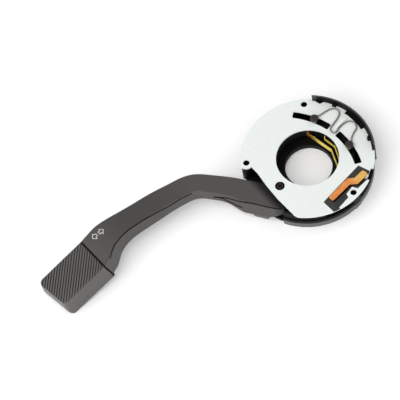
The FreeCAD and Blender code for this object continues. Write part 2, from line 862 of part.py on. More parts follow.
def core_section(station):
    x, y, heading, top, _, depth, _, slant = station
    upright = (x, y, heading, top, core_width, depth, 0.0, slant)
    thin = core_thickness / 2.0
    return plain_section(upright, depth / 2.0 - thin, depth / 2.0 + thin, 0.0)


def torsion_radius():
    return flash_pin_radius + torsion_wire_radius + torsion_gap


def make_core_bar():
    stations = lever_stations[:core_last_station]
    bar = Part.makeLoft([core_section(station) for station in stations], True, False)
    low = flash_level - core_thickness / 2.0
    half = core_width / 2.0
    tongue = root_box(-flash_pin_back, core_lap, -half, half, low, low + core_thickness)
    eye = root_rod(eye_radius, -flash_pin_back, eye_start, eye_end, flash_level)
    room = root_rod(torsion_radius() + torsion_room, -flash_pin_back, eye_end, arm_half_width, flash_level)
    return bar.fuse(tongue).fuse(eye).cut(room)


def make_lever_core():
    hole = flash_pin_rod(flash_pin_radius + running_gap, arm_half_width)
    return make_core_bar().cut(hole).removeSplitter()


def make_flash_cross_pin():
    return flash_pin_rod(flash_pin_radius, arm_half_width)


def make_flash_torsion_spring():
    start = root_place(-flash_pin_back, eye_end + torsion_gap + torsion_wire_radius, flash_level)
    length = 2.0 * torsion_turns * (torsion_wire_radius + torsion_gap / 2.0)
    return coil(start, root_across, torsion_radius(), torsion_wire_radius, torsion_turns, length)


def knob_spigot():
    """The tongue of the upper shell that the knob is pushed on."""
    margin = -knob_spigot_margin
    near = seam_station
    share = knob_spigot_length / abs(knob_tip[0] - near[0])
    far = tuple(a + (b - a) * share for a, b in zip(near, knob_tip))
    return Part.makeLoft(
        [
            plain_section(station, knob_spigot_margin, near[5] - knob_spigot_margin, margin)
            for station in (near, far)
        ],
        True, True,
    )


def make_stalk_shells():
    body = lever_body().cut(carrier_room())
    share = lower_share()
    hollow = Part.makeCompound([root_pocket(), make_core_bar()])
    upper = body.cut(share).cut(hollow).fuse(knob_spigot())
    lower = body.common(share).cut(hollow).cut(knob_spigot())
    return upper, lower


# Knob with slanting ribs on its top face
def moved_station(station, distance):
    x, y = polar(distance, station[2], station[:2])
    return (x, y) + station[2:]


def knob_body():
    near = moved_station(seam_station, knob_seam_gap)
    body = Part.makeLoft(
        [
            plain_section(near, 0.0, near[5], 0.0),
            plain_section(knob_tip, 0.0, knob_tip[5], 0.0),
        ],
        True, True,
    )
    tip_limit = knob_tip[0] + knob_corner_rounding
    tip_edges = []
    for edge in body.Edges:
        box = edge.BoundBox
        upright = box.ZLength > knob_corner_rounding
        if box.XMax < tip_limit and (upright or box.ZMax < knob_corner_rounding):
            tip_edges.append(edge)
    body = body.makeFillet(knob_corner_rounding, tip_edges)
    top_limit = knob_tip[3] - knob_edge_rounding
    top_edges = [
        edge for edge in body.Edges
        if edge.BoundBox.XLength > knob_spigot_length and edge.BoundBox.ZMin > top_limit
    ]
    return body.makeFillet(knob_edge_rounding, top_edges)


def rib_grooves(body):
    """Grooves across the top face, with a plain border on the side of the lower edge."""
    start = vector(*seam_station[:2], seam_station[3])
    end = vector(*knob_tip[:2], knob_tip[3])
    width = seam_station[4]
    length = math.hypot(end.x - start.x, end.y - start.y)
    slope = (end.z - start.z) / length
    run = math.atan2(end.y - start.y, end.x - start.x)
    middle = (start + end) * 0.5
    reach = length / 2.0 + width
    grooves = []
    count = int(reach / rib_pitch)
    for index in range(-count, count + 1):
        offset = index * rib_pitch
        profile = [
            vector(-reach, offset - 2.0 * rib_half_width, rib_depth),
            vector(-reach, offset, -rib_depth),
            vector(-reach, offset + 2.0 * rib_half_width, rib_depth),
        ]
        groove = Part.Face(Part.makePolygon(profile + profile[:1])).extrude(vector(2.0 * reach, 0.0))
        groove.rotate(vector(0.0, 0.0), vector(0.0, 0.0, 1.0), rib_heading + 180.0 - math.degrees(run))
        grooves.append(groove)
    field_width = width + width / 2.0 - rib_border
    field = Part.makeBox(2.0 * length, field_width, 2.0 * rib_depth, vector(-length, -width, -rib_depth))
    cut = Part.makeCompound(grooves).common(field)
    cut.rotate(vector(0.0, 0.0), vector(0.0, 1.0), -math.degrees(math.atan(slope)))
    cut.rotate(vector(0.0, 0.0), vector(0.0, 0.0, 1.0), math.degrees(run))
    cut.translate(middle)
    return body.cut(cut)


def make_knob():
    return rib_grooves(knob_body()).cut(knob_spigot())


def make_parts():
    upper, lower = make_stalk_shells()
    return {
        "housing_shell": make_housing_shell(),
        "connector_socket": make_connector_socket(),
        "terminal_blades": make_terminal_blades(),
        "cover_plate": make_cover_plate(),
        "insulator_block": make_insulator_block(),
        "horn_contact_strip": make_horn_contact_strip(),
        "pivot_screw": make_pivot_screw(),
        "brass_bar_lower": make_bar(lower_bar_route, lower_bar_level, lower_bar_heights),
        "brass_bar_upper": make_bar(upper_bar_route, upper_bar_level, upper_bar_heights),
        "detent_cam": make_detent_cam(),
        "fixed_contacts": make_fixed_contacts(),
        "lever_carrier": make_lever_carrier(),
        "pivot_bush": make_pivot_bush(),
        "spring_post_upper": make_spring_post("upper"),
        "spring_post_lower": make_spring_post("lower"),
        "w_spring": make_w_spring(),
        "detent_plunger": make_detent_plunger(),
        "detent_spring": make_detent_spring(),
        "contact_wiper": make_contact_wiper(),
        "cancel_pawl_upper": make_cancel_pawl("upper"),
        "cancel_pawl_lower": make_cancel_pawl("lower"),
        "flash_cross_pin": make_flash_cross_pin(),
        "flash_torsion_spring": make_flash_torsion_spring(),
        "lever_core": make_lever_core(),
        "stalk_upper_shell": upper,
        "stalk_lower_shell": lower,
        "knob": make_knob(),
    }


os.makedirs("parts", exist_ok=True)
for name, shape in make_parts().items():
    print(f"{name:24s} solids {len(shape.Solids)} valid {shape.isValid()} volume {shape.Volume:9.1f}")
    shape.exportStep(f"parts/{name}.step")
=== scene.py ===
# %% [markdown]
# # A combination stalk switch, dressed in Blender
#
# The real object is the switch that sits round a car's steering column: a round body with a cover plate,
# and a long cranked lever for the turn signals. The solids come from a CAD program and arrive as a fixed
# frame, so this lesson only adds what CAD doesn't give: light, a camera, finishes, the two springs that bend
# or shorten, and the small printed and pressed details. Blender works in metres, so lengths that are easier
# to read in millimetres are multiplied by MM where they are used.

import json
import math

import bpy
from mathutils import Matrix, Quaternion, Vector


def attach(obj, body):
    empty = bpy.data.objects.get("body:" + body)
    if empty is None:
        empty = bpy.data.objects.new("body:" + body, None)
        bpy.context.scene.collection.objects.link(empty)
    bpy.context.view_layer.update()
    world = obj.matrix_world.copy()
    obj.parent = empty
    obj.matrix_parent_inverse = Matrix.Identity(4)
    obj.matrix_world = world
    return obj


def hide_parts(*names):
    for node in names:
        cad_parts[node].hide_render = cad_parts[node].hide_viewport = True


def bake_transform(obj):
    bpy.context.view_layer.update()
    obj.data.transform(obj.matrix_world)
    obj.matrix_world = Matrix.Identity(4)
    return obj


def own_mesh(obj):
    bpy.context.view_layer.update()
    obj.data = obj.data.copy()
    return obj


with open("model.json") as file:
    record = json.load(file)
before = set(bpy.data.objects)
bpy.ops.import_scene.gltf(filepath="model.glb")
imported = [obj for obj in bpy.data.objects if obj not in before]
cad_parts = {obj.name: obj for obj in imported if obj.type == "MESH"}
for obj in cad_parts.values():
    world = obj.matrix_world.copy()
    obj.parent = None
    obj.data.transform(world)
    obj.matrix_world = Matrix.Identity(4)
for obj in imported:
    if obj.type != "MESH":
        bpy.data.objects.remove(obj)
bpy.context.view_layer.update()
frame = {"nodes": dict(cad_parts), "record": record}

# %% [markdown]
# ## The camera
#
# The photograph looks steeply down on the switch from the lever's side, and the picture is rolled a little.
# A long lens far away could be set by hand in the viewport. Here the direction, the distance and the roll
# are written as numbers, because then each of them can be nudged on its own while comparing.

# %% Camera at the photograph's angle
MM = 0.001
look_at = Vector((-65.4, 31.9, 15.0)) * MM
camera_elevation = math.radians(61.5)
camera_heading = Vector((-0.622, -0.783, 0.0)).normalized()
camera_distance = 3.0
camera_roll = math.radians(-10.5)

towards_camera = camera_heading * math.cos(camera_elevation) + Vector((0, 0, 1)) * math.sin(camera_elevation)
bpy.ops.object.camera_add(location=look_at + towards_camera * camera_distance)
camera = bpy.context.object
camera.name = "photo_camera"
camera.rotation_mode = "QUATERNION"
camera.rotation_quaternion = (-towards_camera).to_track_quat("-Z", "Y") @ Quaternion((0, 0, 1), camera_roll)
camera.data.sensor_width = 36.0
camera.data.lens = 144.0 * camera_distance
camera.data.clip_start = 0.01
camera.data.clip_end = 10.0
bpy.context.scene.camera = camera
print("camera at", [round(value, 3) for value in camera.location])

# %% [markdown]
# ## Floor and light
#
# The switch lies on a white sweep under large soft lamps. A real sweep curves up behind the object, but the
# camera looks down so steeply that a flat floor does the same job. Its material adds a little white of its
# own for the camera and for reflections only, so it reads as paper without lighting the object more.

# %% Helpers that every later step uses
def deselect_all():
    if bpy.context.object and bpy.context.object.mode != "OBJECT":
        bpy.ops.object.mode_set(mode="OBJECT")
    bpy.ops.object.select_all(action="DESELECT")


def new_material(name):
    """A material with only its Principled shader and output, given with its node tree and shader."""
    material = bpy.data.materials.new(name)
    material.use_nodes = True
    tree = material.node_tree
    shader = next(node for node in tree.nodes if node.type == "BSDF_PRINCIPLED")
    return material, tree, shader


def opaque(red, green, blue):
    """A colour as nodes want it, with nothing shining through."""
    return (red, green, blue, 1.0)


# %% Floor
floor_size = 6.0
floor_level = -0.0001
floor_glow = 0.16
deselect_all()
bpy.ops.mesh.primitive_plane_add(size=floor_size, location=(0.0, 0.0, floor_level))
floor = bpy.context.object
floor.name = "floor"
paper, tree, shader = new_material("white_paper")
shader.inputs["Base Color"].default_value = opaque(0.9, 0.9, 0.9)
shader.inputs["Roughness"].default_value = 0.9
shader.inputs["Emission Color"].default_value = opaque(1.0, 1.0, 1.0)
light_path = tree.nodes.new("ShaderNodeLightPath")
seen = tree.nodes.new("ShaderNodeMath")
seen.operation = "MAXIMUM"
tree.links.new(light_path.outputs["Is Camera Ray"], seen.inputs[0])
tree.links.new(light_path.outputs["Is Glossy Ray"], seen.inputs[1])
glow = tree.nodes.new("ShaderNodeMath")
glow.operation = "MULTIPLY"
glow.inputs[1].default_value = floor_glow
tree.links.new(seen.outputs[0], glow.inputs[0])
tree.links.new(glow.outputs[0], shader.inputs["Emission Strength"])
floor.data.materials.append(paper)
print("floor at z", floor.location.z)

# %% Lamps
def add_lamp(name, place, size, power):
    """A square soft lamp, aimed at the middle of the switch."""
    deselect_all()
    bpy.ops.object.light_add(type="AREA", location=place)
    lamp = bpy.context.object
    lamp.name = name
    lamp.data.size = size
    lamp.data.energy = power
    aim = look_at - Vector(place)
    lamp.rotation_mode = "QUATERNION"
    lamp.rotation_quaternion = aim.to_track_quat("-Z", "Y")


add_lamp("lamp_over", (-0.5, 0.25, 0.85), 0.9, 5.5)
add_lamp("lamp_left", (-0.85, 0.35, 0.5), 0.7, 1.5)
add_lamp("lamp_front", (-0.6, -0.75, 0.3), 0.6, 3.2)
add_lamp("lamp_right", (0.8, -0.1, 0.5), 0.8, 1.8)
print("lamps:", [light.name for light in bpy.data.lights])

# %% World, brighter near the horizon
horizon_strength = 0.85
zenith_strength = 0.35
zenith_height = 0.9
world = bpy.data.worlds.new("soft_world")
bpy.context.scene.world = world
world.use_nodes = True
sky = world.node_tree
direction = sky.nodes.new("ShaderNodeTexCoord")
height = sky.nodes.new("ShaderNodeSeparateXYZ")
sky.links.new(direction.outputs["Generated"], height.inputs["Vector"])
level = sky.nodes.new("ShaderNodeMapRange")
level.inputs["From Min"].default_value = 0.0
level.inputs["From Max"].default_value = zenith_height
level.inputs["To Min"].default_value = horizon_strength
level.inputs["To Max"].default_value = zenith_strength
sky.links.new(height.outputs["Z"], level.inputs["Value"])
background = sky.nodes["Background"]
background.inputs["Color"].default_value = opaque(1.0, 1.0, 1.0)
sky.links.new(level.outputs["Result"], background.inputs["Strength"])
bpy.context.scene.view_settings.view_transform = "Standard"
print("world strength:", horizon_strength, "to", zenith_strength)

# %% [markdown]
# ## Shared effects as node groups
#
# Moulded plastic is never one flat colour: the tool's surface leaves a fine grain, the colour drifts slightly
# and handling polishes it in patches. Drawn or rolled metal has fine lines along its length instead. Both
# effects are wanted by many finishes, so each is built once as a group with its own dials.

# %% Short ways to add nodes
def group_socket(group, name, direction, kind, value=None):
    """Adds a dial or a result to a node group, with a value to start from."""
    socket = group.interface.new_socket(name=name, in_out=direction, socket_type=kind)
    if value is not None:
        socket.default_value = value


def make_noise(tree, coordinates, scale, detail, roughness=0.5):
    noise = tree.nodes.new("ShaderNodeTexNoise")
    noise.inputs["Scale"].default_value = scale
    noise.inputs["Detail"].default_value = detail
    noise.inputs["Roughness"].default_value = roughness
    tree.links.new(coordinates, noise.inputs["Vector"])
    return noise


def make_range(tree, value, low, high, start=0.0, end=1.0):
    """Spreads start to end over low to high, where low and high are numbers or sockets."""
    spread = tree.nodes.new("ShaderNodeMapRange")
    spread.inputs["From Min"].default_value = start
    spread.inputs["From Max"].default_value = end
    for name, value_out in (("To Min", low), ("To Max", high)):
        if isinstance(value_out, (int, float)):
            spread.inputs[name].default_value = value_out
        else:
            tree.links.new(value_out, spread.inputs[name])
    tree.links.new(value, spread.inputs["Value"])
    return spread.outputs["Result"]


def make_math(tree, operation, first, second):
    """A sum or the like of two values, where each one is a number or a socket."""
    node = tree.nodes.new("ShaderNodeMath")
    node.operation = operation
    for socket, value in zip(node.inputs, (first, second)):
        if isinstance(value, (int, float)):
            socket.default_value = value
        else:
            tree.links.new(value, socket)
    return node.outputs[0]


def make_mix(tree, factor, first, second):
    """Mixes two colours, where each one is a colour or a socket."""
    mix = tree.nodes.new("ShaderNodeMix")
    mix.data_type = "RGBA"
    if isinstance(factor, (int, float)):
        mix.inputs["Factor"].default_value = factor
    else:
        tree.links.new(factor, mix.inputs["Factor"])
    for name, colour in ((6, first), (7, second)):
        if isinstance(colour, tuple):
            mix.inputs[name].default_value = colour
        else:
            tree.links.new(colour, mix.inputs[name])
    return mix.outputs[2]


print("node helpers ready")

# %% Group for moulded grain
drift_scale = 45.0
drift_share = 0.25
rub_scale = 160.0
rub_relief = 0.3
grain_scale_start = 1500.0
grain_roughness = 0.06
polish_share = 0.3


def make_grain_group():
    group = bpy.data.node_groups.new("moulded_grain", "ShaderNodeTree")
    group_socket(group, "Colour", "INPUT", "NodeSocketColor")
    group_socket(group, "Worn Colour", "INPUT", "NodeSocketColor")
    group_socket(group, "Roughness", "INPUT", "NodeSocketFloat", 0.5)
    group_socket(group, "Grain Scale", "INPUT", "NodeSocketFloat", grain_scale_start)
    group_socket(group, "Wear", "INPUT", "NodeSocketFloat", 0.3)
    group_socket(group, "Colour", "OUTPUT", "NodeSocketColor")
    group_socket(group, "Roughness", "OUTPUT", "NodeSocketFloat")
    group_socket(group, "Height", "OUTPUT", "NodeSocketFloat")
    dials = group.nodes.new("NodeGroupInput")
    result = group.nodes.new("NodeGroupOutput")
    place = group.nodes.new("ShaderNodeTexCoord").outputs["Object"]
    drift = make_noise(group, place, drift_scale, 3.0)
    rub = make_noise(group, place, rub_scale, 6.0, 0.65)
    grain = make_noise(group, place, grain_scale_start, 2.0)
    group.links.new(dials.outputs["Grain Scale"], grain.inputs["Scale"])
    shade = make_range(group, drift.outputs["Fac"], 0.0, 1.0)
    rubbed = make_range(group, make_math(group, "POWER", rub.outputs["Fac"], 3.0), 0.0, 2.5)
    wear = make_math(group, "MULTIPLY", rubbed, dials.outputs["Wear"])
    drifted = make_mix(
        group, make_math(group, "MULTIPLY", shade, drift_share), dials.outputs["Colour"],
        dials.outputs["Worn Colour"])
    group.links.new(make_mix(group, wear, drifted, dials.outputs["Worn Colour"]), result.inputs["Colour"])
    uneven = make_range(group, grain.outputs["Fac"], -grain_roughness, grain_roughness)
    base = make_math(group, "ADD", dials.outputs["Roughness"], uneven)
    polished = make_math(group, "SUBTRACT", base, make_math(group, "MULTIPLY", wear, polish_share))
    group.links.new(polished, result.inputs["Roughness"])
    rubbed_height = make_math(group, "MULTIPLY", rub.outputs["Fac"], rub_relief)
    height = make_math(group, "ADD", grain.outputs["Fac"], rubbed_height)
    group.links.new(height, result.inputs["Height"])
    return group


grain_group = make_grain_group()
print("group:", grain_group.name, "sockets:", len(grain_group.interface.items_tree))

# %% Group for drawn and rolled metal
line_scale = 900.0
line_roughness = 0.12
patch_scale = 220.0
stain_roughness = 0.25


def make_drawn_group():
    group = bpy.data.node_groups.new("drawn_metal", "ShaderNodeTree")
    group_socket(group, "Colour", "INPUT", "NodeSocketColor")
    group_socket(group, "Tarnish Colour", "INPUT", "NodeSocketColor")
    group_socket(group, "Roughness", "INPUT", "NodeSocketFloat", 0.3)
    group_socket(group, "Tarnish", "INPUT", "NodeSocketFloat", 0.4)
    group_socket(group, "Stretch", "INPUT", "NodeSocketVector", (1.0, 1.0, 1.0))
    group_socket(group, "Colour", "OUTPUT", "NodeSocketColor")
    group_socket(group, "Roughness", "OUTPUT", "NodeSocketFloat")
    group_socket(group, "Height", "OUTPUT", "NodeSocketFloat")
    dials = group.nodes.new("NodeGroupInput")
    result = group.nodes.new("NodeGroupOutput")
    place = group.nodes.new("ShaderNodeTexCoord").outputs["Object"]
    mapping = group.nodes.new("ShaderNodeMapping")
    group.links.new(place, mapping.inputs["Vector"])
    group.links.new(dials.outputs["Stretch"], mapping.inputs["Scale"])
    lines = make_noise(group, mapping.outputs["Vector"], line_scale, 4.0, 0.6)
    patches = make_noise(group, place, patch_scale, 5.0, 0.6)
    patchy = make_range(group, make_math(group, "POWER", patches.outputs["Fac"], 2.0), 0.0, 2.0)
    stained = make_math(group, "MULTIPLY", patchy, dials.outputs["Tarnish"])
    group.links.new(
        make_mix(group, stained, dials.outputs["Colour"], dials.outputs["Tarnish Colour"]),
        result.inputs["Colour"])
    streaks = make_range(group, lines.outputs["Fac"], -line_roughness, line_roughness)
    lined = make_math(group, "ADD", dials.outputs["Roughness"], streaks)
    group.links.new(
        make_math(group, "ADD", lined, make_math(group, "MULTIPLY", stained, stain_roughness)),
        result.inputs["Roughness"])
    group.links.new(lines.outputs["Fac"], result.inputs["Height"])
    return group


drawn_group = make_drawn_group()
print("group:", drawn_group.name, "sockets:", len(drawn_group.interface.items_tree))

# %% [markdown]
# ## Finishes
#
# The switch is mostly nylon-like moulding: black for the housing, off-white for the plate, charcoal for the
# lever. The colours here were picked against the photograph. Each plastic is the same few nodes
# with its own dials, so one helper builds them all, and a second one builds the metals. The shine of a
# plastic is one number for the whole piece, so it is set on the shader itself and not through the group.

# %% Plastics
plastic_relief = 0.0001


def plastic(name, colour, worn, roughness, grain_scale, wear, bump, shine=0.5):
    material, tree, shader = new_material(name)
    shader.inputs["Specular IOR Level"].default_value = shine
    group = tree.nodes.new("ShaderNodeGroup")
    group.node_tree = grain_group
    group.inputs["Colour"].default_value = opaque(*colour)
    group.inputs["Worn Colour"].default_value = opaque(*worn)
    group.inputs["Roughness"].default_value = roughness
    group.inputs["Grain Scale"].default_value = grain_scale
    group.inputs["Wear"].default_value = wear
    relief = tree.nodes.new("ShaderNodeBump")
    relief.inputs["Strength"].default_value = bump
    relief.inputs["Distance"].default_value = plastic_relief
    tree.links.new(group.outputs["Height"], relief.inputs["Height"])
    tree.links.new(group.outputs["Colour"], shader.inputs["Base Color"])
    tree.links.new(group.outputs["Roughness"], shader.inputs["Roughness"])
    tree.links.new(relief.outputs["Normal"], shader.inputs["Normal"])
    return material


finishes = {
    "black_plastic": plastic(
        "black_plastic", (0.003, 0.003, 0.003), (0.006, 0.006, 0.006), 0.55, 1400.0, 0.3, 0.2, 0.12),
    "white_plastic": plastic(
        "white_plastic", (0.80, 0.84, 0.82), (0.74, 0.77, 0.75), 0.38, 1100.0, 0.2, 0.12),
    "grey_insulator": plastic(
        "grey_insulator", (0.016, 0.015, 0.015), (0.07, 0.066, 0.064), 0.5, 900.0, 0.8, 0.5, 0.3),
    "carrier_plastic": plastic(
        "carrier_plastic", (0.005, 0.005, 0.005), (0.01, 0.01, 0.01), 0.45, 1300.0, 0.3, 0.2, 0.2),
    "cam_plastic": plastic(
        "cam_plastic", (0.62, 0.6, 0.52), (0.5, 0.48, 0.4), 0.4, 1200.0, 0.3, 0.15),
    "stalk_plastic": plastic(
        "stalk_plastic", (0.05, 0.047, 0.045), (0.075, 0.071, 0.067), 0.42, 1700.0, 0.25, 0.3, 0.35),
    "knob_plastic": plastic(
        "knob_plastic", (0.085, 0.081, 0.078), (0.12, 0.114, 0.11), 0.42, 1700.0, 0.3, 0.3, 0.35),
}
print("plastics:", sorted(finishes))

# %% [markdown]
# ## Colours that change from place to place
#
# The housing is one black moulding; its outer skirt and rim get a painted grey reflection while its inside
# stays black, the lever gets painted light towards the knob and painted shade where it goes into the housing's
# mouth, and the grooves between the knob's ribs get painted shade. Each such change is a mask worked out from
# the place on the piece, in metres, so it stays put from every side.

# %% Masks by place
def object_place(tree):
    return tree.nodes.new("ShaderNodeTexCoord").outputs["Object"]


def split_place(tree, place):
    """The three parts of a place or a direction, as sockets."""
    split = tree.nodes.new("ShaderNodeSeparateXYZ")
    tree.links.new(place, split.inputs["Vector"])
    return split.outputs["X"], split.outputs["Y"], split.outputs["Z"]


def axis_distance(tree, centre=(0.0, 0.0)):
    """Distance from an upright line through centre, which is given in metres."""
    x, y, _ = split_place(tree, object_place(tree))
    across = make_math(tree, "SUBTRACT", x, centre[0])
    along = make_math(tree, "SUBTRACT", y, centre[1])
    total = make_math(
        tree, "ADD", make_math(tree, "MULTIPLY", across, across), make_math(tree, "MULTIPLY", along, along))
    return make_math(tree, "SQRT", total, 0.0)


def tint_by_mask(material, mask, masked, worn):
    """Mixes a second pair of colours into a finish's group where the mask is 1, over any tint before it."""
    tree = material.node_tree
    group = next(node for node in tree.nodes if node.type == "GROUP")
    for socket, colour in zip(group.inputs, (masked, worn)):
        plain = socket.links[0].from_socket if socket.is_linked else tuple(socket.default_value)
        tree.links.new(make_mix(tree, mask, plain, opaque(*colour)), socket)


# %% Painted reflection on the black housing's skirt and rim
skirt_top = (0.0042, 0.0050)
skirt_radius = (0.0404, 0.0410)
rim_radius = (0.0418, 0.0422)
rim_highlight_share = 0.6
tree = finishes["black_plastic"].node_tree
_, _, height_out = split_place(tree, object_place(tree))
radius_out = axis_distance(tree)
low_down = make_range(tree, height_out, 1.0, 0.0, *skirt_top)
far_out = make_range(tree, radius_out, 0.0, 1.0, *skirt_radius)
skirt_painted_reflection = make_math(tree, "MULTIPLY", low_down, far_out)
rim_painted_highlight = make_range(tree, radius_out, 0.0, rim_highlight_share, *rim_radius)
# The grey on the outer skirt and the lighter rim are painted reflection and painted highlight on the black
# housing.
tint_by_mask(
    finishes["black_plastic"], make_math(tree, "MAXIMUM", skirt_painted_reflection, rim_painted_highlight),
    (0.12, 0.12, 0.12), (0.2, 0.2, 0.2))
print("housing tinted, nodes:", len(tree.nodes))

# %% Painted light on the lever towards the knob, lighter at its bend, painted shade at its root and at the knob's seam
seam_middle = (-0.1379, 0.0558, 0.0198)
seam_normal = (-0.9474, 0.13, -0.292)
knob_end_painted_light = (-0.142, -0.112)
lit_bend = (-0.088, -0.062)
root_painted_shade = (-0.039, -0.0345)
root_slope = 0.152
seam_shade_on_lever = (-0.0006, -0.0004)
seam_shade_on_knob = (0.0008, 0.001)


def seam_distance(tree):
    """Signed distance from the plane where the knob is pushed on, larger towards the knob's tip."""
    parts = [
        make_math(tree, "MULTIPLY", make_math(tree, "SUBTRACT", out, start), slope)
        for out, start, slope in zip(split_place(tree, object_place(tree)), seam_middle, seam_normal)
    ]
    return make_math(tree, "ADD", make_math(tree, "ADD", parts[0], parts[1]), parts[2])


tree = finishes["stalk_plastic"].node_tree
x_out, y_out, _ = split_place(tree, object_place(tree))
# Painted light: the lever is made lighter towards the knob; lit_bend also makes it lighter at the bend.
tint_by_mask(
    finishes["stalk_plastic"], make_range(tree, x_out, 1.0, 0.0, *knob_end_painted_light),
    (0.07, 0.066, 0.061), (0.095, 0.09, 0.083))
tint_by_mask(
    finishes["stalk_plastic"], make_range(tree, x_out, 0.0, 1.0, *lit_bend),
    (0.068, 0.062, 0.06), (0.092, 0.085, 0.082))
# Painted shade: the lever turns black at its root, where it goes under the plate, and next to the knob's seam.
towards_root = make_math(tree, "SUBTRACT", x_out, make_math(tree, "MULTIPLY", y_out, root_slope))
painted_root_shade = make_range(tree, towards_root, 0.0, 1.0, *root_painted_shade)
painted_seam_shade = make_range(tree, seam_distance(tree), 0.0, 1.0, *seam_shade_on_lever)
tint_by_mask(
    finishes["stalk_plastic"], make_math(tree, "MAXIMUM", painted_root_shade, painted_seam_shade),
    (0.003, 0.003, 0.003), (0.005, 0.005, 0.005))
print("lever tinted, nodes:", len(tree.nodes))

# %% Painted shade in the grooves between the ribs and at the knob's seam
rib_pitch = 0.00163
rib_heading = math.radians(35.6)
rib_middle = (-0.15565, 0.0574)
rib_top_facing = (0.45, 0.6)
groove_shade_share = 0.9

tree = finishes["knob_plastic"].node_tree
x_out, y_out, _ = split_place(tree, object_place(tree))
across_ribs = make_math(
    tree, "SUBTRACT",
    make_math(tree, "MULTIPLY", make_math(tree, "SUBTRACT", y_out, rib_middle[1]), math.cos(rib_heading)),
    make_math(tree, "MULTIPLY", make_math(tree, "SUBTRACT", x_out, rib_middle[0]), math.sin(rib_heading)))
phase = make_math(tree, "MULTIPLY", across_ribs, 2.0 * math.pi / rib_pitch)
groove_painted_shade = make_range(tree, make_math(tree, "COSINE", phase, 0.0), 0.0, 1.0, 0.0, groove_shade_share)
upward = tree.nodes.new("ShaderNodeNewGeometry")
_, _, facing = split_place(tree, upward.outputs["Normal"])
on_top = make_range(tree, facing, 0.0, 1.0, *rib_top_facing)
# Painted shade: the grooves between the ribs on the knob's top are darkened.
tint_by_mask(
    finishes["knob_plastic"], make_math(tree, "MULTIPLY", groove_painted_shade, on_top),
    (0.006, 0.0055, 0.005), (0.01, 0.009, 0.008))
# Painted shade: the knob turns black next to its seam.
tint_by_mask(
    finishes["knob_plastic"], make_range(tree, seam_distance(tree), 1.0, 0.0, *seam_shade_on_knob),
    (0.003, 0.003, 0.003), (0.005, 0.005, 0.005))
print("knob tinted, nodes:", len(tree.nodes))

# %% [markdown]
# ## Metals
#
# Most of the metals are bare, so they only reflect. The copper contact and the brass bars are half matt in the
# photograph, with a thin skin of dirt and oxide, so they are given only about half of the metal look.

# %% Metals
metal_relief = 0.00005


def metal(name, colour, tarnished, roughness, tarnish, stretch, bump, metallic=1.0):
    material, tree, shader = new_material(name)
    shader.inputs["Metallic"].default_value = metallic
    group = tree.nodes.new("ShaderNodeGroup")
    group.node_tree = drawn_group
    group.inputs["Colour"].default_value = opaque(*colour)
    group.inputs["Tarnish Colour"].default_value = opaque(*tarnished)
    group.inputs["Roughness"].default_value = roughness
    group.inputs["Tarnish"].default_value = tarnish
    group.inputs["Stretch"].default_value = stretch
    relief = tree.nodes.new("ShaderNodeBump")
    relief.inputs["Strength"].default_value = bump
    relief.inputs["Distance"].default_value = metal_relief
    tree.links.new(group.outputs["Height"], relief.inputs["Height"])
    tree.links.new(group.outputs["Colour"], shader.inputs["Base Color"])
    tree.links.new(group.outputs["Roughness"], shader.inputs["Roughness"])
    tree.links.new(relief.outputs["Normal"], shader.inputs["Normal"])
    return material


even = (1.0, 1.0, 1.0)
finishes["copper_strip"] = metal(
    "copper_strip", (1.0, 0.43, 0.12), (0.65, 0.13, 0.03), 0.32, 0.7, (0.2, 1.0, 1.0), 0.5, 0.45)
finishes["brass_strip"] = metal(
    "brass_strip", (1.0, 0.82, 0.1), (0.75, 0.42, 0.04), 0.25, 0.3, (1.0, 0.15, 1.0), 0.3, 0.5)
finishes["dark_steel"] = metal("dark_steel", (0.08, 0.071, 0.066), (0.03, 0.027, 0.025), 0.42, 0.6, even, 0.5)
finishes["spring_steel"] = metal("spring_steel", (0.36, 0.32, 0.28), (0.16, 0.135, 0.115), 0.32, 0.5, even, 0.2)
finishes["sintered_bush"] = metal("sintered_bush", (0.4, 0.33, 0.24), (0.2, 0.16, 0.1), 0.5, 0.5, even, 0.6)
finishes["core_steel"] = metal("core_steel", (0.5, 0.5, 0.5), (0.3, 0.3, 0.3), 0.35, 0.4, (0.2, 1.0, 1.0), 0.3)
finishes["blade_metal"] = metal("blade_metal", (0.75, 0.74, 0.68), (0.5, 0.48, 0.4), 0.25, 0.3, even, 0.2)
print("finishes:", len(finishes))

# %% Painted highlight on the copper's end, red end on the brass, black ring round the pivot and painted shade in its recess
copper_painted_highlight = (0.004, 0.012)
brass_red = (0.003, 0.013)
pivot_centre = (-0.026, 0.0)
pivot_reach = (0.004, 0.005)
pivot_ring = (0.0019, 0.0022)
pivot_recess_shade = (0.0144, 0.0146)
tree = finishes["copper_strip"].node_tree
x_out, _, _ = split_place(tree, object_place(tree))
# Painted highlight: the copper's upper end is made bright yellow.
tint_by_mask(
    finishes["copper_strip"], make_range(tree, x_out, 0.0, 1.0, *copper_painted_highlight),
    (1.0, 0.66, 0.16), (0.75, 0.3, 0.06))
tree = finishes["brass_strip"].node_tree
_, y_out, _ = split_place(tree, object_place(tree))
tint_by_mask(
    finishes["brass_strip"], make_range(tree, y_out, 0.0, 1.0, *brass_red),
    (0.5, 0.2, 0.03), (0.22, 0.08, 0.015))
tree = finishes["dark_steel"].node_tree
_, _, height_out = split_place(tree, object_place(tree))
pivot_distance = axis_distance(tree, pivot_centre)
near_pivot = make_range(tree, pivot_distance, 1.0, 0.0, *pivot_reach)
outer_ring = make_range(tree, pivot_distance, 0.0, 1.0, *pivot_ring)
recess_painted_shade = make_range(tree, height_out, 1.0, 0.0, *pivot_recess_shade)
# Painted shade: the screw's cross recess is made black, along with a ring round the screw.
tint_by_mask(
    finishes["dark_steel"],
    make_math(tree, "MULTIPLY", near_pivot, make_math(tree, "MAXIMUM", outer_ring, recess_painted_shade)),
    (0.006, 0.006, 0.006), (0.003, 0.003, 0.003))
print("metals tinted")

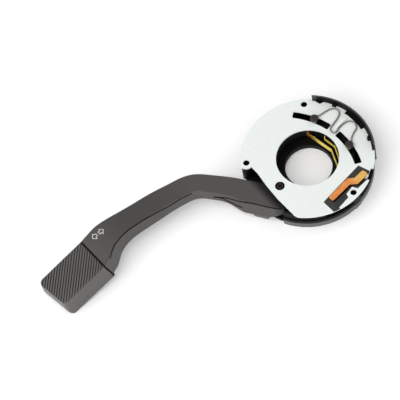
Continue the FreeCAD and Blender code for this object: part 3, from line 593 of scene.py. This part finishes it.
# %% [markdown]
# ## Dressing the CAD nodes
#
# Each node of the frame came with a plain material for its slot. Its shape is already right, so the node
# stays and only its material is changed, through the slots of its object.

# %% Give every node its finish
slot_of = {part["node"]: part["material_slot"] for part in frame["record"]["subparts"]}
for name, node in frame["nodes"].items():
    for socket in node.material_slots:
        socket.material = finishes[slot_of[name]]
print("dressed:", len(slot_of))

# %% [markdown]
# ## The centring spring
#
# One piece of spring wire is looped round both posts and bent to a W between them, and it pulls the lever
# back to the middle. The CAD solid is a rigid stand-in. Here each half is drawn as a smooth curve with a round
# section and made a mesh.

# %% Wire through points
plate_top = 15.0
wire_radius = 0.5
wire_gap = 0.05
wire_level = plate_top + wire_radius + wire_gap
post_loop_radius = 2.05
post_upper = Vector((23.066, 14.627))
post_lower = Vector((23.066, -14.627))
curve_steps = 8


def loop_points(centre, angles):
    """Points of the wire's loop round a post, at angles in degrees."""
    return [
        (centre.x + post_loop_radius * math.cos(math.radians(angle)),
         centre.y + post_loop_radius * math.sin(math.radians(angle)))
        for angle in angles
    ]


def wear_finish(shape, finish):
    """Puts one finish on a made piece."""
    shape.data.materials.clear()
    shape.data.materials.append(finishes[finish])


def tube_through(name, places, radius, finish, sides=4):
    """A smooth round tube through places given in metres, as a mesh that wears the finish."""
    deselect_all()
    bpy.ops.curve.primitive_bezier_curve_add(location=(0.0, 0.0, 0.0))
    tube = bpy.context.object
    tube.name = name
    spline = tube.data.splines[0]
    spline.bezier_points.add(len(places) - len(spline.bezier_points))
    for knot, place in zip(spline.bezier_points, places):
        knot.co = place
        knot.handle_left_type = "AUTO"
        knot.handle_right_type = "AUTO"
    tube.data.dimensions = "3D"
    tube.data.resolution_u = curve_steps
    tube.data.bevel_depth = radius * MM
    tube.data.bevel_resolution = sides
    tube.data.use_fill_caps = True
    bpy.ops.object.convert(target="MESH")
    bpy.ops.object.shade_smooth()
    tube = bpy.context.object
    wear_finish(tube, finish)
    return tube


def spring_half(name, points):
    """Half of the centring spring, drawn through points of its flat path."""
    places = [Vector((x, y, wire_level)) * MM for x, y in points]
    half = tube_through(name, places, wire_radius, "spring_steel")
    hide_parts("w_spring")
    return half


# %% Two halves of the spring
upper_points = loop_points(post_upper, (327.7, 285, 240, 195, 150, 105, 67.7)) + [
    (26.4, 14.5), (29.7, 13.4), (32.8, 12.6), (35.6, 11.3), (37.1, 9.5), (37.3, 7.4), (36.6, 5.7), (35.2, 4.7),
    (33.0, 4.0), (28.0, 3.2), (25.2, 2.7), (23.7, 1.7), (23.2, 0.2),
]
lower_points = loop_points(post_lower, (-320.4, -285, -240, -195, -150, -105, -60.4)) + [
    (26.2, -13.9), (28.2, -12.2), (31.5, -10.9), (35.0, -10.0), (36.7, -8.2), (37.2, -5.5), (35.9, -3.0),
    (33.0, -1.7), (30.5, -1.4), (28.0, -1.5), (25.8, -1.9), (24.2, -1.6), (23.4, -0.8), (23.2, 0.2),
]
spring_upper = spring_half("centre_spring_upper", upper_points)
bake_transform(spring_upper)
spring_lower = spring_half("centre_spring_lower", lower_points)
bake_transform(spring_lower)
print("spring faces:", len(spring_upper.data.polygons) + len(spring_lower.data.polygons))

# %% [markdown]
# ## The detent's spring
#
# Behind the detent's plunger sits a small coil spring, which shortens when the plunger is pushed back. It is
# wound here as a helix of points.

# %% Coil behind the plunger
coil_fixed_end = 27.0
coil_wire = 0.25
coil_start = coil_fixed_end + coil_wire
coil_length = 1.8
coil_radius = 0.9
coil_level = 9.1
coil_turns = 3
steps_in_turn = 12
coil_steps = coil_turns * steps_in_turn
coil_points = []
for step in range(coil_steps + 1):
    angle = 2.0 * math.pi * step / steps_in_turn
    coil_points.append(Vector((
        coil_start + coil_length * step / coil_steps,
        coil_radius * math.cos(angle),
        coil_level + coil_radius * math.sin(angle))) * MM)
detent_coil = tube_through("detent_coil", coil_points, coil_wire, "spring_steel", sides=2)
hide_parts("detent_spring")
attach(detent_coil, "carrier")
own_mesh(detent_coil)
print("coil faces:", len(detent_coil.data.polygons))

# %% [markdown]
# ## Lines on the lever and the plate
#
# The lever's two shells meet in a fine gap and a crease runs between its top and its flank, and both hold a
# thin dark line of shade; the plate carries three faint pressed ribs. A line like that could be cut into the
# mesh, but the CAD meshes stay as they are. So each line is a thin half-sunk bead, black on the lever as
# painted shade, and its points are found by looking along the camera's direction until the shell is met, which
# sets the bead on the surface where the photograph has it.

# %% Points on a node's surface
sight_start = 0.1
steps_between = 4


def on_surface(node_name, place):
    """Where a line of sight through place, given in millimetres, meets the node."""
    start = Vector(place) * MM + towards_camera * sight_start
    found, hit, _, _ = frame["nodes"][node_name].ray_cast(start, -towards_camera)
    return hit if found else None


def stepped(points, steps):
    """The points with evenly spaced ones between them."""
    path = []
    for near, far in zip(points, points[1:]):
        path += [Vector(near).lerp(Vector(far), step / steps) for step in range(steps)]
    return path + [Vector(points[-1])]


def surface_bead(name, node_names, level, points, radius, finish, body):
    """A half-sunk bead along points seen at a level, on whichever of the nodes is met first."""
    places = []
    for point in stepped(points, steps_between):
        hits = [on_surface(node, (point.x, point.y, level)) for node in node_names]
        hits = [hit for hit in hits if hit is not None]
        if hits:
            places.append(max(hits, key=lambda hit: hit.dot(towards_camera)))
    bead = tube_through(name, places, radius, finish, sides=2)
    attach(bead, body)
    print(name, "points:", len(places))


# %% Painted shade lines on the lever
# Black beads of painted shade, for the shade in the crease and in the gap between the shells.
finishes["painted_shade_plastic"] = plastic(
    "painted_shade_plastic", (0.004, 0.004, 0.004), (0.008, 0.008, 0.008), 0.7, 1400.0, 0.2, 0.1, 0.05)
shells = ("stalk_upper_shell", "stalk_lower_shell")
lever_line_level = 20.3
lever_shade_lines = {
    "lever_crease": (
        (-133.3, 45.1), (-129.1, 47.6), (-124.3, 49.4), (-118.1, 50.2), (-111.5, 49.9), (-100.2, 47.4),
        (-89.0, 43.8), (-82.2, 41.5), (-74.9, 39.7), (-66.9, 36.7)),
    "lever_bend_line": (
        (-60.2, 24.6), (-58.4, 21.9), (-57.1, 18.8), (-56.3, 14.7), (-55.4, 10.0), (-54.2, 5.7)),
    "lever_root_line": (
        (-59.9, 24.2), (-55.3, 17.6), (-52.8, 11.5), (-51.4, 8.3), (-49.6, 5.6), (-47.1, 0.8), (-44.5, -5.0),
        (-41.7, -10.5), (-38.3, -15.5)),
}

# %% Place the lever's lines
lever_shade_line_radius = 0.36
for name, points in lever_shade_lines.items():
    surface_bead(name, shells, lever_line_level, points, lever_shade_line_radius, "painted_shade_plastic", "stalk")

# %% [markdown]
# ## Pressed ribs of the plate
#
# The off-white plate has shallow ribs beside the lever and next to the pivot. They are the same moulding, so
# they wear the plate's own finish, and only their small height catches the light.

# %% Ribs on the plate
plate_rib_radius = 0.16
plate_ribs = {
    "plate_rib_side": ((-16.9, 36.5), (-16.3, 26.8), (-14.9, 25.3), (-4.3, 28.1), (1.9, 26.1), (7.7, 24.6)),
    "plate_rib_left": ((-18.0, -6.4), (-18.4, -16.0)),
    "plate_rib_right": ((-15.8, -10.3), (-16.3, -21.8)),
}
for name, points in plate_ribs.items():
    surface_bead(name, ("cover_plate",), plate_top, points, plate_rib_radius, "white_plastic", "housing")

# %% [markdown]
# ## Turn-signal arrows
#
# Two small outlined arrows near the knob show which way the lever works the lamps. They are printed in pale
# paint. Each starts as a flat face with the arrow's seven corners, its inset leaves only an outline, and the
# outline is then laid on the shell and given the thickness of paint.

# %% Paint for the arrows
finishes["arrow_paint"] = plastic(
    "arrow_paint", (0.6, 0.6, 0.58), (0.4, 0.4, 0.38), 0.5, 2500.0, 0.5, 0.2, 0.4)
paint_thickness = 0.06
stroke_width = 0.45
arrow_corners = {
    "arrow_outer": (
        (-123.05, 64.82), (-120.96, 62.29), (-123.6, 59.88), (-123.84, 61.48), (-125.11, 61.49),
        (-124.92, 63.84), (-123.55, 63.71)),
    "arrow_inner": (
        (-128.05, 65.56), (-127.53, 64.37), (-126.26, 64.06), (-126.44, 62.01), (-127.59, 62.06),
        (-128.31, 60.45), (-130.51, 63.11)),
}
print("paint:", finishes["arrow_paint"].name)

# %% Outlined arrows on the lever's top
def outlined_face(name, corners, level):
    """A flat outline with the given corners, in millimetres."""
    deselect_all()
    bpy.ops.mesh.primitive_circle_add(vertices=len(corners), radius=1.0, fill_type="NGON", location=(0, 0, 0))
    shape = bpy.context.object
    shape.name = name
    for vertex, (x, y) in zip(shape.data.vertices, corners):
        vertex.co = Vector((x, y, level)) * MM
    bpy.ops.object.mode_set(mode="EDIT")
    bpy.ops.mesh.select_all(action="SELECT")
    bpy.ops.mesh.inset(thickness=stroke_width * MM, use_even_offset=True)
    bpy.ops.mesh.delete(type="FACE")
    bpy.ops.mesh.select_all(action="SELECT")
    bpy.ops.mesh.subdivide(number_cuts=2)
    bpy.ops.object.mode_set(mode="OBJECT")
    return shape


def lay_on(shape, node_name, lift):
    """Moves every corner of a flat shape along the line of sight to the node, a lift above it."""
    for vertex in shape.data.vertices:
        found, hit, normal, _ = frame["nodes"][node_name].ray_cast(
            vertex.co + towards_camera * sight_start, -towards_camera)
        if found:
            vertex.co = hit + normal * lift


def thicken(shape, thickness):
    """Gives a flat shape an even wall, half on each side of it."""
    deselect_all()
    shape.select_set(True)
    bpy.context.view_layer.objects.active = shape
    wall = shape.modifiers.new("wall", "SOLIDIFY")
    wall.thickness = thickness
    wall.offset = 0.0
    bpy.ops.object.modifier_apply(modifier=wall.name)
    bpy.ops.object.mode_set(mode="EDIT")
    bpy.ops.mesh.select_all(action="SELECT")
    bpy.ops.mesh.normals_make_consistent(inside=False)
    bpy.ops.object.mode_set(mode="OBJECT")


for name, corners in arrow_corners.items():
    arrow = outlined_face(name, corners, lever_line_level)
    lay_on(arrow, "stalk_upper_shell", 0.5 * paint_thickness * MM)
    thicken(arrow, paint_thickness * MM)
    wear_finish(arrow, "arrow_paint")
    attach(arrow, "stalk")
    print(name, "faces:", len(arrow.data.polygons))

# %% [markdown]
# ## The seam at the knob
#
# The knob is pushed on and leaves a narrow gap, black in the photograph because it lies in shade. A thin dark
# plate with the lever's own section fills it as painted shade and stands a hair above the surface, so the line
# stays black and no light comes through.

# %% Dark plate of painted shade in the seam
seam_heading = math.radians(172.2)
seam_slant = math.tan(math.radians(17.0))
seam_half_width = 11.8
seam_depth = 14.4
seam_gap = 0.4
plate_overhang = 0.05
plate_width = 1.0
plate_rounding = 1.0
rounding_steps = 4
side_leans = {-1: 0.17, 1: 0.1}
seam_along = Vector((math.cos(seam_heading), math.sin(seam_heading), 0.0))
seam_across = Vector((math.sin(seam_heading), -math.cos(seam_heading), 0.0))
seam_down = Vector((0.0, 0.0, -1.0)) - seam_along * seam_slant


def seam_corner(side, drop):
    """A corner of the seam's section, on one side and at a depth below its top."""
    reach = seam_half_width + plate_overhang + side_leans[side] * drop
    middle = Vector(seam_middle) / MM + seam_along * (0.5 * seam_gap)
    return (middle + seam_across * (side * reach) + seam_down * drop) * MM


deselect_all()
bpy.ops.mesh.primitive_circle_add(vertices=4, radius=1.0, fill_type="NGON", location=(0, 0, 0))
seam_shade_plate = bpy.context.object
seam_shade_plate.name = "knob_seam_shade_plate"
upper_drop = -plate_overhang
lower_drop = seam_depth + plate_overhang
places = ((-1, upper_drop), (1, upper_drop), (1, lower_drop), (-1, lower_drop))
for vertex, (side, drop) in zip(seam_shade_plate.data.vertices, places):
    vertex.co = seam_corner(side, drop)
rounding = seam_shade_plate.modifiers.new("rounding", "BEVEL")
rounding.affect = "VERTICES"
rounding.width = plate_rounding * MM
rounding.segments = rounding_steps
bpy.ops.object.modifier_apply(modifier=rounding.name)
thicken(seam_shade_plate, plate_width * MM)
# The plate is a dark sheet of painted shade in the gap.
wear_finish(seam_shade_plate, "painted_shade_plastic")
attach(seam_shade_plate, "stalk")
print("seam plate faces:", len(seam_shade_plate.data.polygons))
